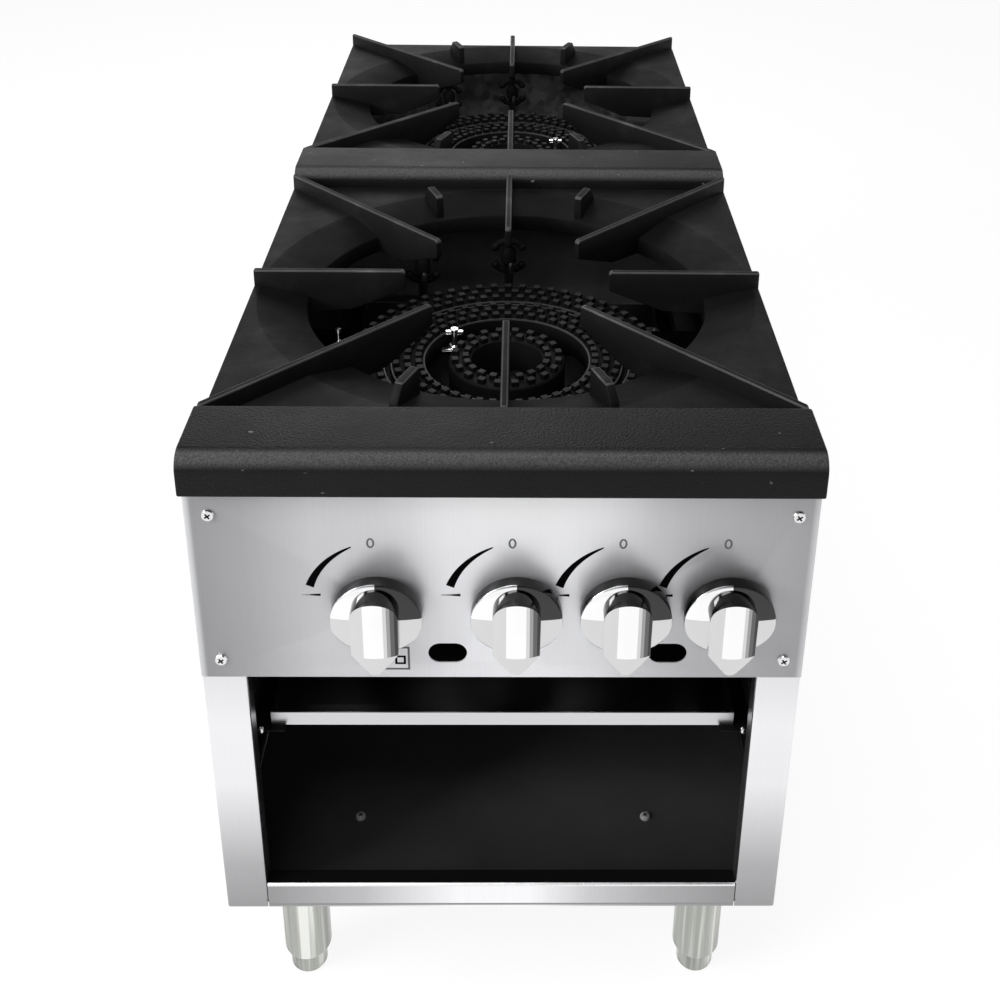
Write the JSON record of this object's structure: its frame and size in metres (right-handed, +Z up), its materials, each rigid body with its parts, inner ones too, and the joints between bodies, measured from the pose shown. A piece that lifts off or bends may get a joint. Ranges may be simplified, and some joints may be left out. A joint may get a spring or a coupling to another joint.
{
  "type": "stock pot range",
  "caption": "Floor-standing gas stock pot range with ring burners in line under square cast grates, control knobs, a pull-out crumb tray, an open cabinet and screw feet.",
  "frame": {"origin": "on the floor, under the middle of the range's box from the knobs to the gas inlet", "axes": "+X to the right seen from the front, +Y to the back, +Z up; the control panel faces -Y"},
  "size_m": [0.457, 1.111, 0.579],
  "materials": {
    "stainless": "polished stainless sheet with a fine upright grain",
    "galvanised": "dull galvanised sheet",
    "black_paint": "black baked paint, satin, rubbed at the corners",
    "dark_sheet": "dark satin sheet",
    "cast_iron": "black sand-cast iron, matt",
    "chrome": "bright chrome plate",
    "brass": "turned brass",
    "black_pipe": "black steel pipe",
    "brushed_leg": "brushed stainless tube"
  },
  "bodies": {
    "range_body": {"left_side_panel": "stainless", "right_side_panel": "stainless", "back_panel": "galvanised", "floor_panel": "dark_sheet", "front_bottom_rail": "stainless", "control_panel": "stainless", "front_ledge": "black_paint", "middle_ledge": "black_paint", "rear_grate_rest": "galvanised", "left_liner": "dark_sheet", "right_liner": "dark_sheet", "left_tray_runner": "galvanised", "right_tray_runner": "galvanised", "middle_baffle": "dark_sheet", "front_left_leg": "brushed_leg", "front_right_leg": "brushed_leg", "rear_left_leg": "brushed_leg", "rear_right_leg": "brushed_leg", "front_outer_burner": "cast_iron", "rear_outer_burner": "cast_iron", "front_inner_burner": "cast_iron", "rear_inner_burner": "cast_iron", "front_burner_bearer": "galvanised", "rear_burner_bearer": "galvanised", "front_pilot_rail": "galvanised", "rear_pilot_rail": "galvanised", "front_back_pilot": "cast_iron", "rear_back_pilot": "cast_iron", "front_side_pilot": "cast_iron", "rear_side_pilot": "cast_iron", "front_ring_lighter": "chrome", "rear_ring_lighter": "chrome", "gas_valve_1": "brass", "gas_valve_2": "brass", "gas_valve_3": "brass", "gas_valve_4": "brass", "gas_manifold": "black_pipe", "gas_inlet_pipe": "black_pipe", "rear_inner_feed_tube": "galvanised", "rear_outer_feed_tube": "galvanised", "rear_jet_plate": "galvanised"},
    "front_grate": {"front_grate": "cast_iron"},
    "rear_grate": {"rear_grate": "cast_iron"},
    "crumb_tray": {"crumb_tray": "stainless"},
    "knob_1": {"knob_1": "chrome", "valve_stem_1": "brass"},
    "knob_2": {"knob_2": "chrome", "valve_stem_2": "brass"},
    "knob_3": {"knob_3": "chrome", "valve_stem_3": "brass"},
    "knob_4": {"knob_4": "chrome", "valve_stem_4": "brass"},
    "front_outer_shutter": {"front_outer_air_shutter": "galvanised"},
    "front_inner_shutter": {"front_inner_air_shutter": "galvanised"},
    "rear_outer_shutter": {"rear_outer_air_shutter": "galvanised"},
    "rear_inner_shutter": {"rear_inner_air_shutter": "galvanised"},
    "front_left_foot": {"front_left_foot": "brushed_leg"},
    "front_right_foot": {"front_right_foot": "brushed_leg"},
    "rear_left_foot": {"rear_left_foot": "brushed_leg"},
    "rear_right_foot": {"rear_right_foot": "brushed_leg"}
  },
  "joints": [
    {"name": "knob_1_turn", "type": "hinge", "parent": "range_body", "child": "knob_1", "pos_m": [-0.0925, -0.54, 0.437], "axis": [0, -1, 0], "range_deg": [0, 90]},
    {"name": "knob_2_turn", "type": "hinge", "parent": "range_body", "child": "knob_2", "pos_m": [0.0105, -0.54, 0.437], "axis": [0, -1, 0], "range_deg": [0, 90]},
    {"name": "knob_3_turn", "type": "hinge", "parent": "range_body", "child": "knob_3", "pos_m": [0.091, -0.54, 0.437], "axis": [0, -1, 0], "range_deg": [0, 90]},
    {"name": "knob_4_turn", "type": "hinge", "parent": "range_body", "child": "knob_4", "pos_m": [0.1675, -0.54, 0.437], "axis": [0, -1, 0], "range_deg": [0, 90]},
    {"name": "front_grate_lift", "type": "slide", "parent": "range_body", "child": "front_grate", "axis": [0, 0, 1], "range_m": [0, 0.15]},
    {"name": "rear_grate_lift", "type": "slide", "parent": "range_body", "child": "rear_grate", "axis": [0, 0, 1], "range_m": [0, 0.15]},
    {"name": "crumb_tray_slide", "type": "slide", "parent": "range_body", "child": "crumb_tray", "axis": [0, -1, 0], "range_m": [0, 0.9]},
    {"name": "front_outer_shutter_turn", "type": "hinge", "parent": "range_body", "child": "front_outer_shutter", "pos_m": [-0.0925, -0.44, 0.437], "axis": [0, 1, 0], "range_deg": [0, 60]},
    {"name": "front_inner_shutter_turn", "type": "hinge", "parent": "range_body", "child": "front_inner_shutter", "pos_m": [0.0105, -0.44, 0.437], "axis": [0, 1, 0], "range_deg": [0, 60]},
    {"name": "rear_outer_shutter_turn", "type": "hinge", "parent": "range_body", "child": "rear_outer_shutter", "pos_m": [-0.0925, 0.0934, 0.437], "axis": [0, 1, 0], "range_deg": [0, 60]},
    {"name": "rear_inner_shutter_turn", "type": "hinge", "parent": "range_body", "child": "rear_inner_shutter", "pos_m": [0.0105, 0.0934, 0.437], "axis": [0, 1, 0], "range_deg": [0, 60]},
    {"name": "front_left_foot_screw", "type": "slide", "parent": "range_body", "child": "front_left_foot", "axis": [0, 0, -1], "range_m": [0, 0.025]},
    {"name": "front_right_foot_screw", "type": "slide", "parent": "range_body", "child": "front_right_foot", "axis": [0, 0, -1], "range_m": [0, 0.025]},
    {"name": "rear_left_foot_screw", "type": "slide", "parent": "range_body", "child": "rear_left_foot", "axis": [0, 0, -1], "range_m": [0, 0.025]},
    {"name": "rear_right_foot_screw", "type": "slide", "parent": "range_body", "child": "rear_right_foot", "axis": [0, 0, -1], "range_m": [0, 0.025]}
  ]
}
